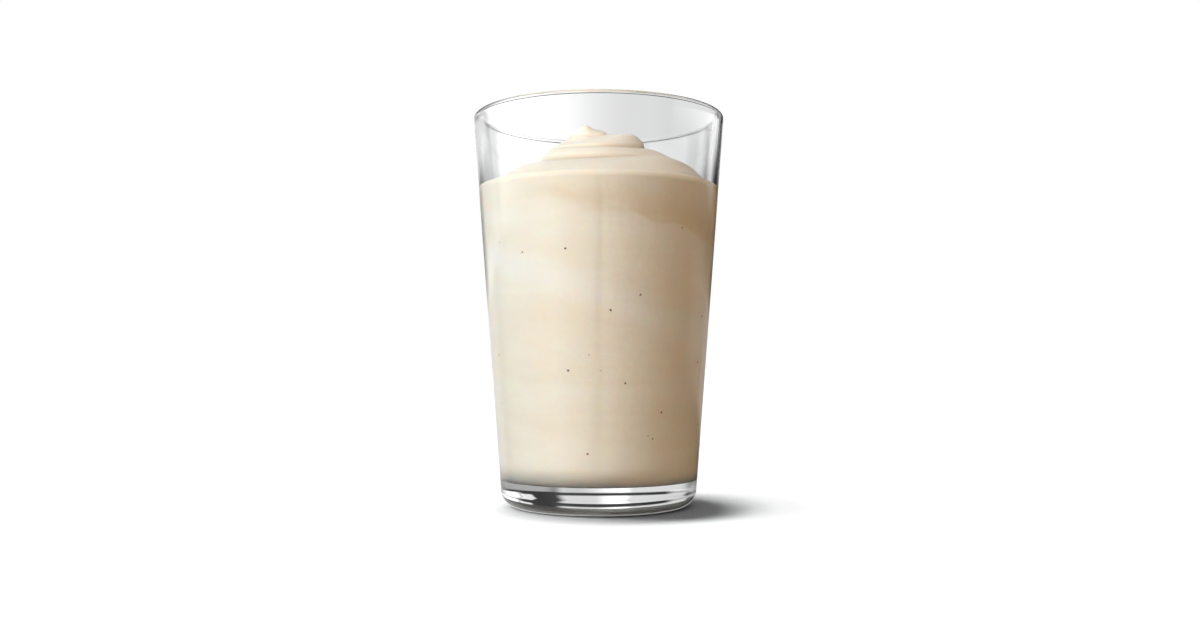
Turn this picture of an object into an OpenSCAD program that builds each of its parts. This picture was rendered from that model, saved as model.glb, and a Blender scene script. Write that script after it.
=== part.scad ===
// Vanilla milkshake in a tapered glass tumbler.
// The origin is on the table at the glass's axis, +Z is up, and all sizes are millimetres.

/* [Glass] */
// Height of the glass from the table to the top of the rim
glass_h = 134.2; // [110:0.1:165]
// Diameter of the outer wall where its cone reaches the height of the rim
rim_d = 86.2; // [72:0.1:104]
// Diameter of the outer wall where its cone reaches the table
foot_d = 66.8; // [56:0.1:71]
// Thickness of the side wall, square to its surface
wall_t = 2.6; // [2:0.1:3.4]
// Thickness of the solid base above the table
floor_t = 9.3; // [7:0.1:12]
// Radius of the outer edge under the side wall
heel_r = 6; // [4:0.1:8]
// Radius of the inner corner between the side wall and the floor
corner_r = 7; // [5:0.1:9]
// Depth of the hollow under the base
punt_h = 1.6; // [1:0.1:2.2]
// Width of the flat ring that the glass stands on
stand_w = 1.6; // [1:0.1:2.5]

/* [Milkshake] */
// Distance from the top of the rim down to the line where the milkshake leaves the wall
fill_drop = 24.6; // [16:0.1:30]
// Gap between the milkshake and the inner wall
cling_gap = 0.02; // [0.01:0.01:0.1]
// Height of the mound above the fill line, without its peak
mound_h = 19.3; // [12:0.1:22]
// How full the mound's sides are
mound_power = 1.34; // [1.2:0.01:1.9]
// How much fuller the mound is on its right than on its left
mound_lean = 0.27; // [0:0.01:0.3]
// How much the fill line rises and falls round the wall
fill_wave = 0.5; // [0:0.1:1.2]

/* [Swirl] */
// Height of the soft lip above a fold
lip_h = 1.9; // [0.3:0.1:2.4]
// Width of that lip
lip_w = 12; // [8:0.5:18]
// Depth of the groove at a fold
groove_h = 1.8; // [0.5:0.1:2.2]
// Width over which the groove opens on to the turn below
groove_w = 2.4; // [2:0.1:6]
// Width of the step down into the groove
step_w = 1.6; // [1:0.1:2.5]
// Height of the curl at the peak above the mound
peak_h = 4; // [1:0.1:6]
// Width of the curl at the peak
peak_w = 6.6; // [3:0.1:8]
// How much steeper the curl is on its right than on its left
peak_skew = 1.7; // [1:0.1:2.5]
// How far the peak sits to the left of the axis
peak_left = 5.4; // [0:0.1:9]
// How far the peak sits in front of the axis
peak_front = 1.5; // [0:0.1:5]

/* [Hidden] */
$fn = 96;

// The side wall leans out by lean degrees, and wall_out is its outer radius at height z.
foot_r = foot_d / 2;
lean = atan((rim_d - foot_d) / 2 / glass_h);
function wall_out(z) = foot_r + z * tan(lean);
function wall_in(z) = wall_out(z) - wall_t / cos(lean);
outward = [cos(lean), -sin(lean)];

// The straight walls run this far inside the round edges, so that each meets the next cleanly.
tuck = 0.002;

// Centres of the three round edges of the glass, each tangent to the faces it joins.
rim_r = wall_t / 2;
rim_c = [wall_out(glass_h - rim_r) - rim_r / cos(lean), glass_h - rim_r];
heel_c = [wall_out(heel_r) - heel_r / cos(lean), heel_r];
corner_c = [wall_in(floor_t + corner_r) - corner_r / cos(lean), floor_t + corner_r];

// The hollow under the base is a shallow spherical cap inside the standing ring.
punt_r = heel_c[0] - stand_w;
punt_sphere_r = (punt_r * punt_r + punt_h * punt_h) / (2 * punt_h);

// Height of the fill line, and the radius that the mound fills there.
fill_z = glass_h - fill_drop;
fill_r = wall_in(fill_z);

// The main fold winds outwards from the peak, clockwise as seen from above. Its radius, as a
// share of the fill radius, and its strength are given at each quarter turn: back, right,
// front, left, and so on.
fold_share = [0.01, 0.03, 0.17, 0.27, 0.34, 0.4, 0.53, 0.45, 0.7, 0.91, 1, 1.02];
fold_strength = [0, 0.3, 0.25, 0.2, 0.5, 1, 0.45, 0.1, 0.5, 0.7, 0.4, 0];
fold_start = -0.25;

// Two shorter folds lie below it, given at each eighth turn: one crosses the front, from the
// front right to the back left, and the other leaves the wall at the front and climbs the left.
front_share = [0.7, 0.69, 0.61, 0.5, 0.46, 0.55];
front_strength = [0, 0.6, 0.8, 0.7, 0.4, 0];
front_start = 0.12;
side_share = [1, 0.93, 0.8, 0.72, 0.7];
side_strength = [0, 0.3, 0.35, 0.2, 0];
side_start = 0.25;

// Mesh of the milkshake: steps round the axis, rings on the mound and rings in the corner.
round_n = 96;
mound_n = 42;
corner_n = 5;

// Smooth curve through a list's values at place p, where 0 is the first value and 1 the second.
function along(list, p) =
    let (i = floor(p),
         t = p - i,
         a = list[max(i - 1, 0)],
         b = list[i],
         c = list[i + 1],
         d = list[min(i + 2, len(list) - 1)])
    b + t * ((c - a) + t * ((2 * a - 5 * b + 4 * c - d) + t * (3 * (b - c) + d - a))) / 2;

// Height added at distance d outside a fold: a soft lip inside it, and a groove at it.
function fold_lift(d) =
    let (t = min(max(-d / lip_w, 0), 1),
         step = max(1 + d / step_w, 0))
    lip_h * 6.75 * t * (1 - t) * (1 - t) - groove_h * (d < 0 ? step * step : exp(-d / groove_w));

// Height added by a fold at one crossing, where p is the place along its lists.
function crossing(radius, shares, strengths, p) =
    p > 0 && p < len(shares) - 1
    ? along(strengths, p) * fold_lift(radius - fill_r * along(shares, p))
    : 0;

// Height added by every fold that one direction crosses, where turn is 0 at the right and
// grows clockwise.
function folds(radius, turn) =
    let (main = [for (n = [-1 : 2])
                    crossing(radius, fold_share, fold_strength, 4 * (turn + n - fold_start))])
    main * [1, 1, 1, 1]
    + crossing(radius, front_share, front_strength, 8 * (turn - front_start))
    + crossing(radius, side_share, side_strength, 8 * (turn - side_start));

// Height of the curl at the peak.
function peak(x, y) =
    let (across = (x + peak_left) * (x > -peak_left ? peak_skew : 1),
         deep = 1.1 * (y + peak_front))
    peak_h * exp(-pow(norm([across, deep]) / peak_w, 2.1));

// Height of the fill line in direction a, a little higher at the front left.
function fill_line(a) = fill_z + fill_wave * (0.7 * cos(a - 245) + 0.3 * cos(2 * a + 40));

// Height of the mound at a share of the fill radius, in direction a.
function mound_z(share, a) =
    let (radius = share * fill_r,
         power = mound_power + mound_lean * (cos(a) + 0.5 * sin(a)),
         turn = (360 - a) / 360)
    fill_line(a) + mound_h * (1 - pow(share, power))
    + (1 - pow(share, 8)) * folds(radius, turn)
    + peak(radius * cos(a), radius * sin(a));

// One ring of points, with a radius and a height for each direction.
function direction(j) = 360 * (j + 0.5) / round_n;
function ring(radii, heights) =
    [for (j = [0 : round_n - 1])
        [radii[j] * cos(direction(j)), radii[j] * sin(direction(j)), heights[j]]];
function all_round(value) = [for (j = [0 : round_n - 1]) value];

// Rings from beside the axis out to the wall.
function mound_rings() =
    [for (i = [1 : mound_n])
        let (share = i / mound_n,
             heights = [for (j = [0 : round_n - 1]) mound_z(share, direction(j))],
             radii = [for (z = heights) share * (i < mound_n ? fill_r : wall_in(z)) - share * cling_gap])
        ring(radii, heights)];

// Rings round the inner corner, from the foot of the side wall in to the flat floor.
function corner_rings() =
    [for (i = [0 : corner_n])
        let (turn = -lean - (90 - lean) * i / corner_n,
             gap_r = corner_r - cling_gap)
        ring(all_round(corner_c[0] + gap_r * cos(turn)), all_round(corner_c[1] + gap_r * sin(turn)))];

// Triangles between neighbouring rings, and fans that close the top and the bottom.
function band(i) =
    [for (j = [0 : round_n - 1])
        let (k = (j + 1) % round_n,
             a = 1 + i * round_n + j,
             b = 1 + i * round_n + k)
        each [[a, b, b + round_n], [a, b + round_n, a + round_n]]];
function top_fan() = [for (j = [0 : round_n - 1]) [0, 1 + (j + 1) % round_n, 1 + j]];
function bottom_fan(count) =
    let (first = 1 + (count - 1) * round_n,
         last = 1 + count * round_n)
    [for (j = [0 : round_n - 1]) [last, first + j, first + (j + 1) % round_n]];

module glass_profile() {
    difference() {
        union() {
            difference() {
                polygon([
                    [0, 0],
                    [heel_c[0], 0],
                    heel_c + (heel_r - tuck) * outward,
                    rim_c + (rim_r - tuck) * outward,
                    rim_c - (rim_r - tuck) * outward,
                    corner_c + (corner_r - tuck) * outward,
                    [corner_c[0], floor_t],
                    [0, floor_t],
                ]);
                translate(corner_c) circle(corner_r);
            }
            translate(heel_c) intersection() {
                circle(heel_r);
                translate([0, -heel_r]) square([heel_r, min(heel_r, floor_t)]);
            }
            translate(rim_c) circle(rim_r);
        }
        translate([0, punt_h - punt_sphere_r]) circle(punt_sphere_r);
    }
}

module glass() {
    color([0.85, 0.9, 0.9, 0.35])
        rotate_extrude() glass_profile();
}

module milkshake() {
    rings = concat(mound_rings(), corner_rings());
    points = concat(
        [[0, 0, mound_z(0, 0)]],
        [for (r = rings) each r],
        [[0, 0, floor_t + cling_gap]]);
    faces = concat(
        top_fan(),
        [for (i = [0 : len(rings) - 2]) each band(i)],
        bottom_fan(len(rings)));
    color([0.95, 0.9, 0.79])
        polyhedron(points, faces);
}

glass();
milkshake();
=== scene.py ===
# %% [markdown]
# # Vanilla milkshake in a glass tumbler
# A milkshake is two things to a renderer: clear glass that bends light, and a thick cream that
# light soaks into. Both are turned shapes, so both start as a profile carried round an axis.
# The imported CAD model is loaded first, and every size below is measured from it or named once.

import bmesh
import bpy
import numpy as np
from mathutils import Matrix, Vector


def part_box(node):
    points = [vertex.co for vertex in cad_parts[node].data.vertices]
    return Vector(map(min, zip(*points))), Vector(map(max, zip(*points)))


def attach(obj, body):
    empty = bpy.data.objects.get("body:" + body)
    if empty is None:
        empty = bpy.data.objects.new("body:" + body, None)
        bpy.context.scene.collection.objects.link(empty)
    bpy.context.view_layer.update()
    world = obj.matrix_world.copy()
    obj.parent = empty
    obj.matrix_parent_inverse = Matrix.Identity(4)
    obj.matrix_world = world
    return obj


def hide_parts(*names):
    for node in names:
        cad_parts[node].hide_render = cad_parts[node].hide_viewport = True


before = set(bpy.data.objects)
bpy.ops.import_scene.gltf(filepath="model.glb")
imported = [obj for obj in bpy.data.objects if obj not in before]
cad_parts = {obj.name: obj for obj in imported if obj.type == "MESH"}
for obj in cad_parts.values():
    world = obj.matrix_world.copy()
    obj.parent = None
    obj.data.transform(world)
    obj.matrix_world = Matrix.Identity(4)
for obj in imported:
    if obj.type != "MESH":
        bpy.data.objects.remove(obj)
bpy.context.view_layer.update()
MM = 0.001
_, glass_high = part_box("glass")
glass_h = glass_high.z / MM
rim_r = glass_high.x / MM
print("glass", round(glass_h, 2), "mm high, rim", round(2 * rim_r, 2), "mm across")

# %% [markdown]
# ## The glass
# Every edge of the glass is round, because it was fire polished. Its profile is built from
# straight runs and arcs, in the order that a finger would follow them: from the middle of the
# hollow underside, round the heel, up the outside, over the rim, down the inside and back to
# the axis. A lathe mesh of that profile gives a closed solid, which refraction needs.

# %% Profile of the glass
wall_t = 2.6
floor_t = 9.3
heel_r = 6.0
corner_r = 7.0
punt_h = 1.6
stand_w = 1.6
foot_r = 33.4
brim_r = 43.1
edge_r = wall_t / 2
lean = np.arctan((brim_r - foot_r) / glass_h)


def wall_out(z):
    """Outer radius at height z: the foot radius plus the height times the tangent of the lean."""
    return foot_r + z * np.tan(lean)


def wall_in(z):
    """Inner radius at height z: the outer radius less the wall's level thickness."""
    return wall_out(z) - wall_t / np.cos(lean)


def arc(centre, radius, start, end, steps):
    """Points of an arc: centre plus radius times (cosine, sine) of angles from start to end."""
    a = np.linspace(start, end, steps)
    return np.stack([centre[0] + radius * np.cos(a), centre[1] + radius * np.sin(a)], 1)


def line(start, end, steps):
    """Evenly spaced points from start to end, both left out, so that arcs can own the joints."""
    t = np.linspace(0, 1, steps + 2)[1:-1, None]
    return (1 - t) * np.array(start, float) + t * np.array(end, float)


rim_c = (wall_out(glass_h - edge_r) - edge_r / np.cos(lean), glass_h - edge_r)
heel_c = (wall_out(heel_r) - heel_r / np.cos(lean), heel_r)
corner_c = (wall_in(floor_t + corner_r) - corner_r / np.cos(lean), floor_t + corner_r)
punt_r = heel_c[0] - stand_w
dome_r = (punt_r**2 + punt_h**2) / (2 * punt_h)
dome_a = np.arcsin(punt_r / dome_r)
punt = arc((0, punt_h - dome_r), dome_r, np.pi / 2, np.pi / 2 - dome_a, 24)
heel = arc(heel_c, heel_r, -np.pi / 2, -lean, 20)
rim = arc(rim_c, edge_r, -lean, np.pi - lean, 20)
corner = arc(corner_c, corner_r, -lean, -np.pi / 2, 20)
glass_profile = np.concatenate([
    punt, heel, line(heel[-1], rim[0], 60), rim,
    line(rim[-1], corner[0], 60), corner, line(corner[-1], (0, floor_t), 16), [[0, floor_t]],
])


# %% [markdown]
# ## From rows of points to a closed piece
# A turned shape is a grid: each point of the profile is a row, and each direction round the axis
# is a column. Neighbouring rows are joined by quads. The first and last rows lie on the axis, so
# they shrink to one point each and get a fan of triangles, which leaves no hole and no seam. The
# same helper later takes the milkshake, whose rows aren't circles. A screw modifier could turn
# the glass as well, but it couldn't make the swirl, and one helper for both keeps them alike.

# %% Lathe and mesh helpers
def grid_mesh(name, x, y, z, material):
    """A closed piece from a grid of points: rows run from pole to pole, columns go round.

    The first and last rows are poles, so each becomes one vertex with a fan of triangles."""
    rows, cols = x.shape
    ring = np.stack([x, y, z], -1)[1:-1].reshape(-1, 3)
    poles = np.array([[x[0, 0], y[0, 0], z[0, 0]], [x[-1, 0], y[-1, 0], z[-1, 0]]])
    points = np.concatenate([ring, poles]) * MM
    j = np.arange(cols)
    k = (j + 1) % cols
    row = np.arange(rows - 3)[:, None] * cols
    quads = np.stack([row + j, row + k, row + cols + k, row + cols + j], -1).reshape(-1, 4)
    first, last = len(ring), len(ring) + 1
    base = (rows - 3) * cols
    top = np.stack([np.full(cols, first), k, j], -1)
    bottom = np.stack([np.full(cols, last), base + j, base + k], -1)
    mesh = bpy.data.meshes.new(name)
    mesh.from_pydata(points.tolist(), [], quads.tolist() + top.tolist() + bottom.tolist())
    mesh.update()
    mesh.shade_smooth()
    obj = bpy.data.objects.new(name, mesh)
    bpy.context.scene.collection.objects.link(obj)
    obj.data.materials.append(material)
    print(name, len(mesh.polygons), "faces")
    return obj


def point_out(obj):
    """Welds points that coincide and turns every face outwards."""
    bm = bmesh.new()
    bm.from_mesh(obj.data)
    bmesh.ops.remove_doubles(bm, verts=bm.verts, dist=1e-7)
    bmesh.ops.recalc_face_normals(bm, faces=bm.faces)
    bm.to_mesh(obj.data)
    bm.free()


# %% [markdown]
# ## Short names for shader nodes
# Every material below is a small sum of soft steps and noise. Written out in full, each sum takes
# four lines per node, so a few helpers shorten that to one call per node. They add to the node
# tree at hand, which is whichever tree nodes and links last named.

# %% Node helpers
def new_material(name):
    """A node material with its Principled shader, ready for more nodes."""
    material = bpy.data.materials.new(name)
    material.use_nodes = True
    return material, material.node_tree.nodes, material.node_tree.links


def node(kind, **settings):
    """A new node in the tree at hand, with plain settings such as operation."""
    made = nodes.new("ShaderNode" + kind)
    for key, value in settings.items():
        setattr(made, key, value)
    return made


def feed(value, socket):
    """Gives a socket a plain value or links another socket to it."""
    if isinstance(value, bpy.types.NodeSocket):
        links.new(value, socket)
    else:
        socket.default_value = value


def calc(operation, *values):
    """The result of a Math node fed with sockets or plain numbers."""
    made = node("Math", operation=operation)
    for value, socket in zip(values, made.inputs):
        feed(value, socket)
    return made.outputs["Value"]


def ease(value, low, high):
    """0 below low, 1 above high, and a smooth step between."""
    made = node("MapRange", interpolation_type="SMOOTHSTEP")
    feed(value, made.inputs["Value"])
    made.inputs["From Min"].default_value = low
    made.inputs["From Max"].default_value = high
    return made.outputs["Result"]


def noise(vector, scale, detail=3.0, roughness=0.5, distortion=0.0):
    """Noise from 0 to 1 on a vector."""
    made = node("TexNoise")
    feed(vector, made.inputs["Vector"])
    feed(scale, made.inputs["Scale"])
    for key, value in (("Detail", detail), ("Roughness", roughness), ("Distortion", distortion)):
        made.inputs[key].default_value = value
    return made.outputs["Fac"]


def blend(factor, first, second):
    """A colour between first and second."""
    made = node("Mix", data_type="RGBA")
    feed(factor, made.inputs["Factor"])
    feed(first, made.inputs[6])
    feed(second, made.inputs[7])
    return made.outputs[2]


# %% [markdown]
# ## One grain for every surface
# No real surface is perfectly even: glass has a faint haze and shallow waves, cream has tiny
# bubbles, and paper has tooth. All of these are the same effect at different sizes, so it is one
# node group. It turns noise into a roughness between two limits, and into a height for the bump.
# Each material sets the scale, the limits and the depth on its own copy of the group node.

# %% Shared surface grain
def make_grain():
    """A node group: noise that turns into a roughness between Low and High, and into a height.

    It becomes the tree at hand for the helpers above while it is filled."""
    global nodes, links
    tree = bpy.data.node_groups.new("surface_grain", "ShaderNodeTree")
    nodes, links = tree.nodes, tree.links
    for name, kind in (("Vector", "NodeSocketVector"), ("Scale", "NodeSocketFloat"),
                       ("Low", "NodeSocketFloat"), ("High", "NodeSocketFloat")):
        tree.interface.new_socket(name, in_out="INPUT", socket_type=kind)
    for name in ("Roughness", "Height"):
        tree.interface.new_socket(name, in_out="OUTPUT", socket_type="NodeSocketFloat")
    given = nodes.new("NodeGroupInput")
    result = nodes.new("NodeGroupOutput")
    height = noise(given.outputs["Vector"], given.outputs["Scale"], detail=3)
    spread = node("MapRange")
    links.new(ease(height, 0.3, 0.7), spread.inputs["Value"])
    links.new(given.outputs["Low"], spread.inputs["To Min"])
    links.new(given.outputs["High"], spread.inputs["To Max"])
    links.new(spread.outputs["Result"], result.inputs["Roughness"])
    links.new(height, result.inputs["Height"])
    return tree


def grain_of(shader, scale, low, high, strength, depth):
    """Gives a shader's roughness and bump their grain, at a scale per metre and a depth."""
    made = node("Group")
    made.node_tree = surface_grain
    links.new(node("TexCoord").outputs["Object"], made.inputs["Vector"])
    for key, value in (("Scale", scale), ("Low", low), ("High", high)):
        made.inputs[key].default_value = value
    links.new(made.outputs["Roughness"], shader.inputs["Roughness"])
    bump = node("Bump")
    bump.inputs["Strength"].default_value = strength
    bump.inputs["Distance"].default_value = depth
    links.new(made.outputs["Height"], bump.inputs["Height"])
    links.new(bump.outputs["Normal"], shader.inputs["Normal"])
    return made.outputs["Height"]


surface_grain = make_grain()

# %% [markdown]
# ## Clear glass
# Glass is all transmission at an index of 1.5. Its shadow needs help: a path tracer without
# caustics would cast a solid black shadow, since it can't follow a shadow ray round the bends. For
# shadow rays alone, the shader therefore swaps to a plain transparent one, so that light still
# reaches the milkshake through the wall.

# %% Glass material
glass_mat, nodes, links = new_material("clear_glass")
shader = nodes["Principled BSDF"]
shader.inputs["IOR"].default_value = 1.5
haze = grain_of(shader, 60, 0.0, 0.012, 0.08, 0.0002)
links.new(blend(haze, (0.98, 0.988, 0.986, 1), (0.99, 0.992, 0.992, 1)), shader.inputs["Base Color"])
shader.inputs["Transmission Weight"].default_value = 1.0
clear = nodes.new("ShaderNodeBsdfTransparent")
clear.inputs["Color"].default_value = (0.96, 0.97, 0.97, 1)
path = nodes.new("ShaderNodeLightPath")
mix = nodes.new("ShaderNodeMixShader")
links.new(path.outputs["Is Shadow Ray"], mix.inputs["Fac"])
links.new(shader.outputs["BSDF"], mix.inputs[1])
links.new(clear.outputs["BSDF"], mix.inputs[2])
links.new(mix.outputs["Shader"], nodes["Material Output"].inputs["Surface"])

# %% [markdown]
# ## Turning the glass
# The profile goes round in 256 columns, enough for a rim that reads as a true circle in close-up.
# Pressed glass is never quite even underneath, so the hollow under the base swells and sinks by a
# few tenths of a millimetre. Those waves break the reflections in the base into streaks. The
# thickness of everything else stays exact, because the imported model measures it.

# %% Turn the glass
glass_cols = 256
swell_share = 0.3
turn = np.linspace(0, 2 * np.pi, glass_cols, endpoint=False)[None, :]
r, z = glass_profile[:, :1], glass_profile[:, 1:]
underside = np.arange(len(glass_profile))[:, None] < len(punt)
swell = (np.sin(2 * turn + 0.4) + 0.7 * np.sin(5 * turn + 9 * r / punt_r)
         + 0.4 * np.sin(9 * turn - 14 * r / punt_r))
z = z * (1 + np.where(underside, swell_share * swell * r / punt_r, 0))
glass = grid_mesh("glass_tumbler", r * np.cos(turn), r * np.sin(turn), z, glass_mat)
point_out(glass)
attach(glass, "root")
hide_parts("glass")

# %% [markdown]
# ## The milkshake
# The shake is poured thick enough to stand in folds. Its top could be sculpted by hand, but
# then no number would say where a fold runs. Here it is a height for every direction and every
# share of the radius, added up from four parts:
#
# - a fill line that wavers a little where the shake clings to the glass
# - a mound, fuller on one side than the other
# - folds: one long line that winds outwards from the peak, and two short ones in front and beside
# - a small curl left of the middle, steeper on its right, as a spoon or nozzle leaves it
#
# A fold is a soft lip with a sharp groove under it. The same rules, with a darkness in place of
# the height, later paint shade into the cream's colour: a thin dark line in each groove and a
# soft shade below it.

# %% Swirl
fill_drop = 24.6
fill_z = glass_h - fill_drop
fill_r = wall_in(fill_z)
wave_h, ripple_h = 0.35, 0.15
mound_h, mound_power, mound_lean = 19.3, 1.34, 0.27
lip_h, lip_w = 1.9, 12.0
groove_h, groove_w, step_w = 1.8, 2.4, 0.6
shade_inner, shade_line, shade_soft = 0.5, 0.9, 5.0
peak_h, peak_w, peak_x, peak_y = 4.0, 6.6, -5.4, -1.5
peak_skew, peak_depth, peak_round = 1.7, 1.1, 2.1
fold_start, front_start, side_start = -0.25, 0.12, 0.25
fold_share = np.array([0.01, 0.03, 0.17, 0.27, 0.34, 0.4, 0.53, 0.45, 0.7, 0.91, 1, 1.02])
fold_strength = np.array([0, 0.3, 0.25, 0.2, 0.5, 1, 0.45, 0.1, 0.5, 0.7, 0.4, 0])
front_share = np.array([0.7, 0.69, 0.61, 0.5, 0.46, 0.55])
front_strength = np.array([0, 0.6, 0.8, 0.7, 0.4, 0])
side_share = np.array([1, 0.93, 0.8, 0.72, 0.7])
side_strength = np.array([0, 0.3, 0.35, 0.2, 0])


def along(values, place):
    """Smooth curve through values, which stand one unit of place apart (Catmull-Rom)."""
    last = len(values) - 1
    place = np.clip(place, 0, last - 1e-6)
    i = np.floor(place).astype(int)
    t = place - i
    a, b = values[np.maximum(i - 1, 0)], values[i]
    c, d = values[i + 1], values[np.minimum(i + 2, last)]
    return b + t * ((c - a) + t * ((2 * a - 5 * b + 4 * c - d) + t * (3 * (b - c) + d - a))) / 2


def fold_lift(d):
    """Height at distance d outside a fold: a soft lip inside it and a groove at it."""
    t = np.clip(-d / lip_w, 0, 1)
    groove = np.where(d < 0, np.clip(1 + d / step_w, 0, 1) ** 2, np.exp(-np.maximum(d, 0) / groove_w))
    return lip_h * 6.75 * t * (1 - t) ** 2 - groove_h * groove


def painted_fold_shade(d):
    """Painted shade at distance d outside a fold: a dark line in the groove and a soft shade below it.
    """
    outside = np.maximum(d, 0)
    thin = np.where(d < 0, np.clip(1 + d / shade_inner, 0, 1), np.exp(-outside / shade_line))
    wide = np.where(d < 0, 0, np.exp(-outside / shade_soft))
    return 0.6 * thin + 0.4 * wide


def crossing(profile, radius, shares, strengths, place):
    """What one fold adds, as strength times profile, where place runs along its lists."""
    inside = (place > 0) & (place < len(shares) - 1)
    added = along(strengths, place) * profile(radius - fill_r * along(shares, place))
    return np.where(inside, added, 0)


def all_folds(profile, share, a):
    """The sum over the folds of the profile at a share of the fill radius in direction a."""
    radius = share * fill_r
    clockwise = (-a / (2 * np.pi)) % 1
    total = sum(crossing(profile, radius, fold_share, fold_strength,
                         4 * (clockwise + n - fold_start)) for n in range(-1, 3))
    for shares, strengths, start in ((front_share, front_strength, front_start),
                                     (side_share, side_strength, side_start)):
        total = total + crossing(profile, radius, shares, strengths, 8 * (clockwise - start))
    return (1 - share**8) * total


def fill_line(a):
    """Height of the fill line in direction a, a little higher at the front left."""
    wave = wave_h * np.cos(a - np.radians(245))
    ripple = ripple_h * np.cos(2 * a + np.radians(40))
    return fill_z + wave + ripple


def mound(share, a):
    """Height of the mound at a share of the fill radius in direction a."""
    radius = share * fill_r
    power = mound_power + mound_lean * (np.cos(a) + 0.5 * np.sin(a))
    z = fill_line(a) + mound_h * (1 - share**power)
    x, y = radius * np.cos(a), radius * np.sin(a)
    across = (x - peak_x) * np.where(x > peak_x, peak_skew, 1.0)
    deep = peak_depth * (y - peak_y)
    peak = peak_h * np.exp(-((np.hypot(across, deep) / peak_w) ** peak_round))
    return z + all_folds(fold_lift, share, a) + peak


# %% [markdown]
# ## The finish of the milkshake
# Light goes about a millimetre into a milkshake and comes out blurred and a little redder, so
# subsurface scattering does most of the work.
#
# For the colour, two creams are blended: a pale one and a tan one. What moves the blend is a single
# value, partly the cream's own streaks and grain and partly painted shade. The lines below add to
# it what can be seen through a full glass of shake: long streaks, painted shade at the upper right
# with a crisp lower edge, mottled painted shade in a band under the fill line, a pale ribbon that
# falls from left to right, and fine grain. All of it is measured on the object itself, as an angle
# round the glass and a height in millimetres, so it stays put from every side. The folds of the
# swirl add painted shade too, with a dark brown line in each groove.

# %% Milkshake material
shake_mat, nodes, links = new_material("vanilla_milkshake")
shader = nodes["Principled BSDF"]
shader.inputs["IOR"].default_value = 1.38
shader.inputs["Subsurface Weight"].default_value = 1.0
shader.inputs["Subsurface Radius"].default_value = (1.0, 0.75, 0.55)
shader.inputs["Subsurface Scale"].default_value = 0.0011

position = node("TexCoord").outputs["Object"]
split = node("SeparateXYZ")
links.new(position, split.inputs[0])
across = calc("ARCTAN2", split.outputs["X"], calc("MULTIPLY", split.outputs["Y"], -1.0))
height = calc("DIVIDE", split.outputs["Z"], MM)

stretch = node("Mapping")
links.new(position, stretch.inputs["Vector"])
stretch.inputs["Rotation"].default_value = (0, np.radians(-12), 0)
stretch.inputs["Scale"].default_value = (1, 1, 4.2)
streaks = noise(stretch.outputs["Vector"], 16, detail=4, roughness=0.55, distortion=0.6)
grain = noise(stretch.outputs["Vector"], 70, detail=3, roughness=0.6, distortion=0.3)
wander = noise(position, 45, detail=2)


def bump_at(value, centre, width):
    """1 where value is at centre, falling smoothly to 0 at width to either side."""
    off = calc("ABSOLUTE", calc("SUBTRACT", value, centre))
    return calc("SUBTRACT", 1.0, ease(off, 0.0, width))


drift = calc("MULTIPLY", calc("SUBTRACT", wander, 0.5), 9.0)
# Painted shade at the upper right: a tan patch above a wavering line that falls to the right, crisp at
# its lower edge and fading upwards.
level = calc("ADD", calc("MULTIPLY_ADD", across, -8.5, 100.0), drift)
level = calc("SUBTRACT", level, calc("MULTIPLY", bump_at(across, 0.45, 0.22), 2.5))
over = calc("SUBTRACT", height, level)
painted_shade_right = calc("MULTIPLY", ease(over, -0.7, 0.7), calc("SUBTRACT", 1.0, ease(over, 3.0, 13.0)))
painted_shade_right = calc("MULTIPLY", painted_shade_right, ease(across, 0.12, 0.42))
# Painted shade in a band under the fill line, strongest in front and mottled by noise.
rise = calc("SUBTRACT", height, calc("MULTIPLY_ADD", across, -4.0, 101.0))
painted_shade_band = calc("MULTIPLY", bump_at(calc("ADD", rise, drift), 1.0, 6.5), bump_at(across, -0.05, 0.85))
ribbon = calc("SUBTRACT", height, calc("MULTIPLY_ADD", across, -13.0, 71.0))
ribbon = bump_at(calc("ADD", ribbon, calc("MULTIPLY", drift, 0.6)), 0.0, 9.0)
mottle = ease(noise(stretch.outputs["Vector"], 34, detail=3, distortion=0.8), 0.38, 0.66)
# The blend: the cream's streaks and grain, a pale ribbon, and painted shade.
tone_and_shade = calc("MULTIPLY_ADD", ease(streaks, 0.3, 0.7), 0.28, 0.16)
tone_and_shade = calc("ADD", tone_and_shade, calc("MULTIPLY", painted_shade_right, 0.5))
tone_and_shade = calc("ADD", tone_and_shade, calc("MULTIPLY", painted_shade_band, calc("MULTIPLY_ADD", mottle, 0.35, 0.22)))
tone_and_shade = calc("SUBTRACT", tone_and_shade, calc("MULTIPLY", ribbon, 0.3))
tone_and_shade = calc("SUBTRACT", tone_and_shade, calc("MULTIPLY", bump_at(rise, -9.0, 9.0), 0.25))
tone_and_shade = calc("ADD", tone_and_shade, calc("MULTIPLY", calc("SUBTRACT", grain, 0.5), 0.25))
# Painted shade of the swirl's folds, read from the points: it darkens the blend, and a dark brown
# blends in for the line in each groove.
painted_crease_shade = node("Attribute", attribute_name="painted_fold_shade").outputs["Fac"]
tone_and_shade = calc("ADD", tone_and_shade, calc("MULTIPLY", painted_crease_shade, 1.1))
cream = blend(tone_and_shade, (0.95, 0.94, 0.875, 1), (0.82, 0.74, 0.60, 1))
cream = blend(calc("MULTIPLY", painted_crease_shade, 0.85), cream, (0.56, 0.44, 0.31, 1))
links.new(cream, shader.inputs["Base Color"])

grain_of(shader, 420, 0.3, 0.44, 0.25, 0.0004)
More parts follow.
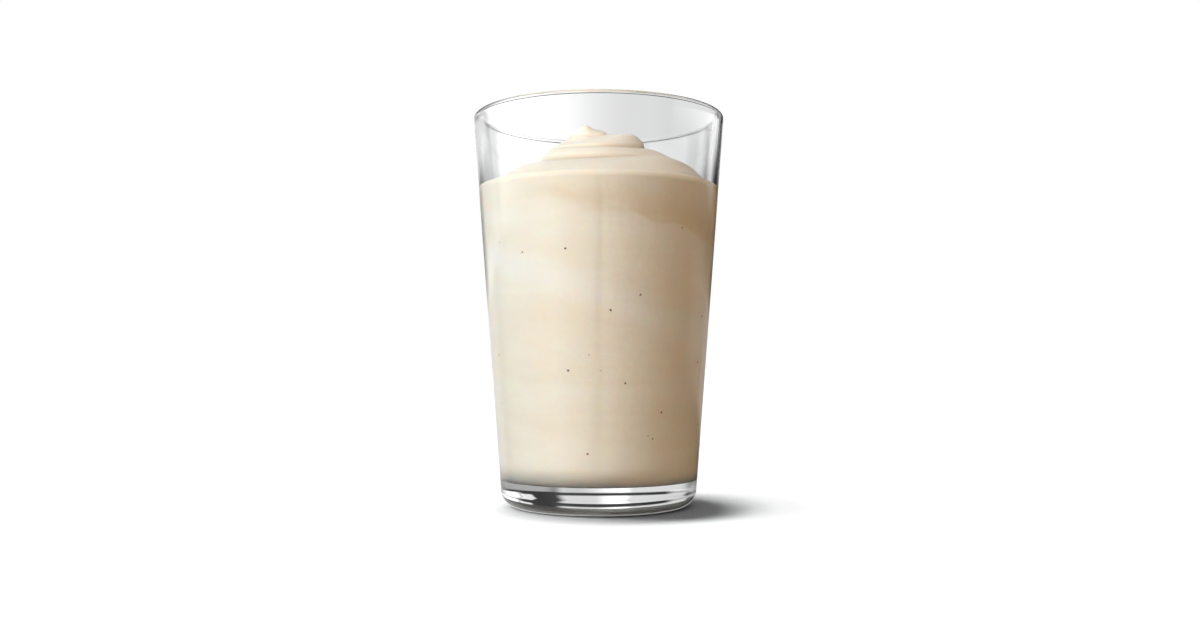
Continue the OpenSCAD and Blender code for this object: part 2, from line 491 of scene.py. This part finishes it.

# %% [markdown]
# ## Shaping the milkshake
# The rows start at the peak, spread to the wall, go down the wall, round the inner corner and back
# to the axis under the floor of the shake. There must be no air between drink and glass, since a
# film of air would mirror like silver. The wall of the shake therefore reaches 0.15 mm into the
# glass. The painted shade of the folds is stored on the points, for the material to read.

# %% Shape the milkshake
cols, mound_rows, wall_rows = 400, 171, 51
a = np.linspace(0, 2 * np.pi, cols, endpoint=False)[None, :] + np.pi / cols
share = np.linspace(0, 1, mound_rows)[:, None]
overlap = 0.15
z = mound(share, a)
r = share * fill_r + 0 * a
r[-1] = wall_in(z[-1]) + overlap
down = np.linspace(0, 1, wall_rows)[1:, None]
foot = np.array([corner_c[0] + (corner_r + overlap) * np.cos(lean),
                 corner_c[1] - (corner_r + overlap) * np.sin(lean)])
wall_z = z[-1] * (1 - down) + foot[1] * down
wall_r = wall_in(wall_z) + overlap
bend = arc(corner_c, corner_r + overlap, -lean, -np.pi / 2, 12)[1:]
inwards = line(bend[-1], (0, bend[-1, 1]), 3)
closing = np.concatenate([bend, inwards, [[0, bend[-1, 1]]]])
r = np.concatenate([r, wall_r, closing[:, :1] + 0 * a])
z = np.concatenate([z, wall_z, closing[:, 1:] + 0 * a])
milkshake = grid_mesh("milkshake_swirl", r * np.cos(a), r * np.sin(a), z, shake_mat)
shade = np.zeros_like(r)
shade[:len(share)] = np.clip(all_folds(painted_fold_shade, share, a), 0, 1)
shade = np.concatenate([shade[1:-1].ravel(), [shade[0, 0], shade[-1, 0]]])
mark = milkshake.data.attributes.new("painted_fold_shade", "FLOAT", "POINT")
mark.data.foreach_set("value", shade)
point_out(milkshake)
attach(milkshake, "root")
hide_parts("milkshake")

# %% [markdown]
# ## Vanilla specks
# Ground vanilla pods leave flecks from a third to four fifths of a millimetre. Painted dots would
# do from afar, but these are true lumps: a sphere of a few faces, squashed, made uneven and
# tilted at random, then half sunk in the cream. Those in front stand where they would catch the
# eye, as pairs of an angle and a height. The rest are scattered, always by the same seed.

# %% Vanilla specks
speck_mat, nodes, links = new_material("vanilla_speck")
shader = nodes["Principled BSDF"]
pod = grain_of(shader, 2500, 0.4, 0.65, 0.5, 0.0001)
links.new(blend(pod, (0.07, 0.022, 0.010, 1), (0.26, 0.095, 0.045, 1)), shader.inputs["Base Color"])

random = np.random.default_rng(7)
front_specks = np.array([(44, 93), (-16, 85.5), (-57, 89), (-40, 85), (21, 71), (6, 66), (-5, 52),
                         (-16, 47), (1, 47), (14, 43), (36, 33.5), (28, 26), (31, 25), (-6, 20.5)])
wall_specks, top_specks = 44, 6
smallest, largest, flatness = 0.35, 0.8, 0.45
above_floor, below_fill = 8, 6
wall_sunk, top_sunk = 0.02, 0.05
side, slices = 5, 7
u = np.linspace(0, np.pi, side)[None, :, None]
v = np.linspace(0, 2 * np.pi, slices, endpoint=False)[None, None, :]
count = wall_specks + top_specks
speck_a = random.uniform(-0.14 * np.pi, 1.14 * np.pi, count)
speck_z = random.uniform(floor_t + above_floor, fill_z - below_fill, count)
speck_a[:len(front_specks)] = np.radians(front_specks[:, 0] - 90)
speck_z[:len(front_specks)] = front_specks[:, 1]
speck_r = wall_in(speck_z) + overlap - wall_sunk
top_share = np.sqrt(random.uniform(0.02, 0.8, top_specks))
speck_r[wall_specks:] = top_share * fill_r
speck_z[wall_specks:] = mound(top_share[None, :], speck_a[None, wall_specks:])[0] - top_sunk
radius = 0.5 * random.uniform(smallest, largest, count)[:, None, None]
lump = 1 + 0.25 * random.standard_normal((count, side, slices))
lump[:, 0, :] = lump[:, 0, :1]
lump[:, -1, :] = lump[:, -1, :1]
shape = np.stack([np.sin(u) * np.cos(v) + 0 * lump, np.cos(u) + 0 * v + 0 * lump,
                  np.sin(u) * np.sin(v) + 0 * lump], -1) * (radius * lump)[..., None]
shape[..., 0] *= flatness
tilt = random.uniform(0, np.pi, count)[:, None, None]
y, z = shape[..., 1].copy(), shape[..., 2].copy()
shape[..., 1] = y * np.cos(tilt) - z * np.sin(tilt)
shape[..., 2] = y * np.sin(tilt) + z * np.cos(tilt)
flat_top = (np.arange(count) >= wall_specks)[:, None, None]
out, up = shape[..., 0].copy(), shape[..., 2].copy()
shape[..., 0] = np.where(flat_top, up, out)
shape[..., 2] = np.where(flat_top, out, up)
ca, sa = np.cos(speck_a)[:, None, None], np.sin(speck_a)[:, None, None]
x = (speck_r[:, None, None] + shape[..., 0]) * ca - shape[..., 1] * sa
y = (speck_r[:, None, None] + shape[..., 0]) * sa + shape[..., 1] * ca
z = speck_z[:, None, None] + shape[..., 2]
points = np.stack([x, y, z], -1).reshape(-1, 3) * MM
i, j = np.meshgrid(np.arange(side - 1), np.arange(slices), indexing="ij")
k = (j + 1) % slices
quad = np.stack([i * slices + j, i * slices + k, (i + 1) * slices + k, (i + 1) * slices + j], -1)
faces = (quad.reshape(-1, 4)[None] + (np.arange(count) * side * slices)[:, None, None]).reshape(-1, 4)
speck_mesh = bpy.data.meshes.new("vanilla_specks")
speck_mesh.from_pydata(points.tolist(), [], faces.tolist())
specks = bpy.data.objects.new("vanilla_specks", speck_mesh)
bpy.context.scene.collection.objects.link(specks)
point_out(specks)
speck_mesh.materials.append(speck_mat)
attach(specks, "root")
print("specks", count, "pieces,", len(speck_mesh.polygons), "faces")

# %% [markdown]
# ## The floor
# The set is a plain pale table that runs out of sight. It is kept out of the glass and off the
# cream, because a white floor would fill the base of the glass with light and wash out its dark
# lines. It still takes the shadow.

# %% Floor
floor_mesh = bpy.data.meshes.new("floor")
floor_mesh.from_pydata([(-6, -6, 0), (6, -6, 0), (6, 6, 0), (-6, 6, 0)], [], [(0, 1, 2, 3)])
floor = bpy.data.objects.new("floor", floor_mesh)
bpy.context.scene.collection.objects.link(floor)
floor_mat, nodes, links = new_material("floor_white")
shader = nodes["Principled BSDF"]
shader.inputs["Specular IOR Level"].default_value = 0.0
paper = grain_of(shader, 300, 0.9, 1.0, 0.02, 0.0001)
links.new(blend(paper, (0.895, 0.895, 0.895, 1), (0.905, 0.905, 0.905, 1)), shader.inputs["Base Color"])
floor_mesh.materials.append(floor_mat)
floor.visible_diffuse = False
floor.visible_glossy = False
floor.visible_transmission = False

# %% [markdown]
# ## Lamps
# Softboxes light the drink from the left, with a warm fill on the right where the light has come
# through the shake and round it. The table has lamps of its own: three narrow suns from the left,
# from steep to steeper, draw a shadow that is dark at the foot and fades away, and a wide one
# stands for the sky. Giving the drink and the table separate lamps lets the table stay white
# while the drink keeps its shading, as a photographer does with flags and cards.


# %% Lights
def collection_of(name, *objects):
    """A collection that lists objects, for a lamp to light and nothing else."""
    group = bpy.data.collections.new(name)
    for obj in objects:
        group.objects.link(obj)
    return group


drink = collection_of("drink", glass, milkshake, specks)
table = collection_of("table", floor)


def aimed_lamp(name, kind, place, aim, lit, power, colour=(1, 1, 1)):
    """A lamp at place that faces aim and lights one collection. Mirrors and glass don't show it."""
    lamp = bpy.data.lights.new(name, kind)
    lamp.energy = power
    lamp.color = colour
    obj = bpy.data.objects.new(name, lamp)
    obj.location = place
    obj.rotation_euler = (Vector(aim) - Vector(place)).to_track_quat("-Z", "Y").to_euler()
    obj.light_linking.receiver_collection = lit
    obj.visible_glossy = False
    obj.visible_transmission = False
    bpy.context.scene.collection.objects.link(obj)
    return lamp


middle = (0, 0, 0.08)


def at(bearing, elevation, distance):
    """A place at that distance from the middle of the drink. Bearing 0 is in front, and it
    grows to the right."""
    a, e = np.radians(bearing), np.radians(elevation)
    level_run = distance * np.cos(e)
    return (level_run * np.sin(a), -level_run * np.cos(a), middle[2] + distance * np.sin(e))


low_aim = (0, 0, 0.03)
base_aim = (0, 0, 0.01)
for name, place, aim, size, power, colour in (
        ("key", at(-50, 33, 0.7), middle, 0.5, 4.9, (1, 0.99, 0.96)),
        ("fill", at(38, 10, 0.8), middle, 0.5, 3.3, (1, 0.67, 0.4)),
        ("top", at(-20, 75, 0.6), middle, 0.35, 0.5, (1, 0.83, 0.7)),
        ("low_left", at(-70, -5, 0.6), low_aim, 0.22, 2.8, (1, 0.97, 0.93)),
        ("low_side", at(85, -5, 0.6), low_aim, 0.22, 0.45, (1, 0.71, 0.47)),
        ("bounce", at(0, -32, 0.5), base_aim, 0.3, 0.25, (1, 0.88, 0.75))):
    aimed_lamp(name, "AREA", place, aim, drink, power, colour).size = size
bpy.data.objects["bounce"].light_linking.blocker_collection = drink
sun_spread, sky_spread = np.radians(7), np.radians(150)
for elevation, back, power in ((72, 0.0, 0.5), (81, 0.02, 1.2), (86, 0.08, 1.6)):
    up = np.radians(elevation)
    place = (-np.cos(up), back, np.sin(up))
    aimed_lamp(f"table_{elevation}", "SUN", place, (0, 0, 0), table, power).angle = sun_spread
sky = aimed_lamp("table_sky", "SUN", (0, 0, 1), (0, 0, 0), table, 0.7)
sky.angle = sky_spread

# %% [markdown]
# ## What the glass sees
# Clear glass has no look of its own: it shows what stands round it. A white room gives no edges,
# and a dark one gives black glass. So the world is a ring of soft cards, each with a bearing, a
# width, a brightness and sometimes a lower or upper limit. Grey stands behind the drink, white to
# the left and the right. Only mirrors and refraction see the cards. The camera itself sees white.

# %% World
world = bpy.data.worlds.new("studio")
bpy.context.scene.world = world
world.use_nodes = True
world.cycles_visibility.diffuse = False
nodes, links = world.node_tree.nodes, world.node_tree.links
background = nodes["Background"]
direction = nodes.new("ShaderNodeTexCoord").outputs["Generated"]
level_part = nodes.new("ShaderNodeVectorMath")
level_part.operation = "MULTIPLY"
links.new(direction, level_part.inputs[0])
level_part.inputs[1].default_value = (1, 1, 0)
heading = nodes.new("ShaderNodeVectorMath")
heading.operation = "NORMALIZE"
links.new(level_part.outputs[0], heading.inputs[0])
upward = nodes.new("ShaderNodeSeparateXYZ")
links.new(direction, upward.inputs[0])


def card(total, bearing, half, soft, brightness, low=-90.0, high=90.0, fade=3.0):
    """Adds a card at a bearing in degrees, 0 behind the drink and 90 on the right, with that
    half width, soft edge and brightness, between the elevations low and high, to the total."""
    dot = nodes.new("ShaderNodeVectorMath")
    dot.operation = "DOT_PRODUCT"
    links.new(heading.outputs[0], dot.inputs[0])
    dot.inputs[1].default_value = (np.sin(np.radians(bearing)), np.cos(np.radians(bearing)), 0)
    part = ease(dot.outputs["Value"], np.cos(np.radians(half + soft)), np.cos(np.radians(half)))
    part = calc("MULTIPLY", part, brightness)
    for edge, out in ((low, low - fade), (high, high + fade)):
        if abs(edge) < 90:
            part = calc("MULTIPLY", part, ease(upward.outputs["Z"], np.sin(np.radians(out)),
                                               np.sin(np.radians(edge))))
    return calc("ADD", total, part)


light = 0.03
for bearing, half, soft, brightness, limits in (
        (2, 10, 5, 0.72, {"low": 9.5}),
        (2, 10, 5, 0.6, {"high": 1}),
        (45, 22, 12, 0.4, {"low": -4, "high": 0.5, "fade": 2}),
        (-27, 19, 10, 0.75, {"low": 9.5}),
        (-27, 12, 22, 0.75, {"high": 1}),
        (-50, 12, 10, 0.5, {"low": 2, "high": 8, "fade": 1.5}),
        (-100, 34, 16, 0.3, {}),
        (34, 3, 3, 0.9, {"low": 10}),
        (-100, 18, 16, 1.6, {"low": 4}),
        (75, 28, 12, 1.6, {"low": 8, "fade": 4}),
        (180, 40, 35, 0.5, {})):
    light = card(light, bearing, half, soft, brightness, **limits)
seen = nodes.new("ShaderNodeMix")
links.new(nodes.new("ShaderNodeLightPath").outputs["Is Camera Ray"], seen.inputs["Factor"])
links.new(light, seen.inputs[2])
seen.inputs[3].default_value = 1.0
links.new(seen.outputs[0], background.inputs["Strength"])
background.inputs["Color"].default_value = (1, 1, 1, 1)

# %% [markdown]
# ## Camera
# The camera stands a little over a third of the way up the glass and looks level, so upright
# lines stay upright.
# A small upward shift of the lens frames the whole glass without tilting it.

# %% Camera
camera_right, camera_away, camera_up = 0.00045, 0.391, 0.0502
camera_data = bpy.data.cameras.new("camera")
camera_data.sensor_width = 36
camera_data.lens = 33.81
camera_data.shift_y = 0.04025
camera = bpy.data.objects.new("camera", camera_data)
camera.location = (camera_right, -camera_away, camera_up)
camera.rotation_euler = (np.pi / 2, 0, 0)
bpy.context.scene.collection.objects.link(camera)
bpy.context.scene.camera = camera
bpy.context.scene.view_settings.view_transform = "Standard"
bpy.context.scene.cycles.caustics_refractive = False
bpy.context.scene.cycles.caustics_reflective = False
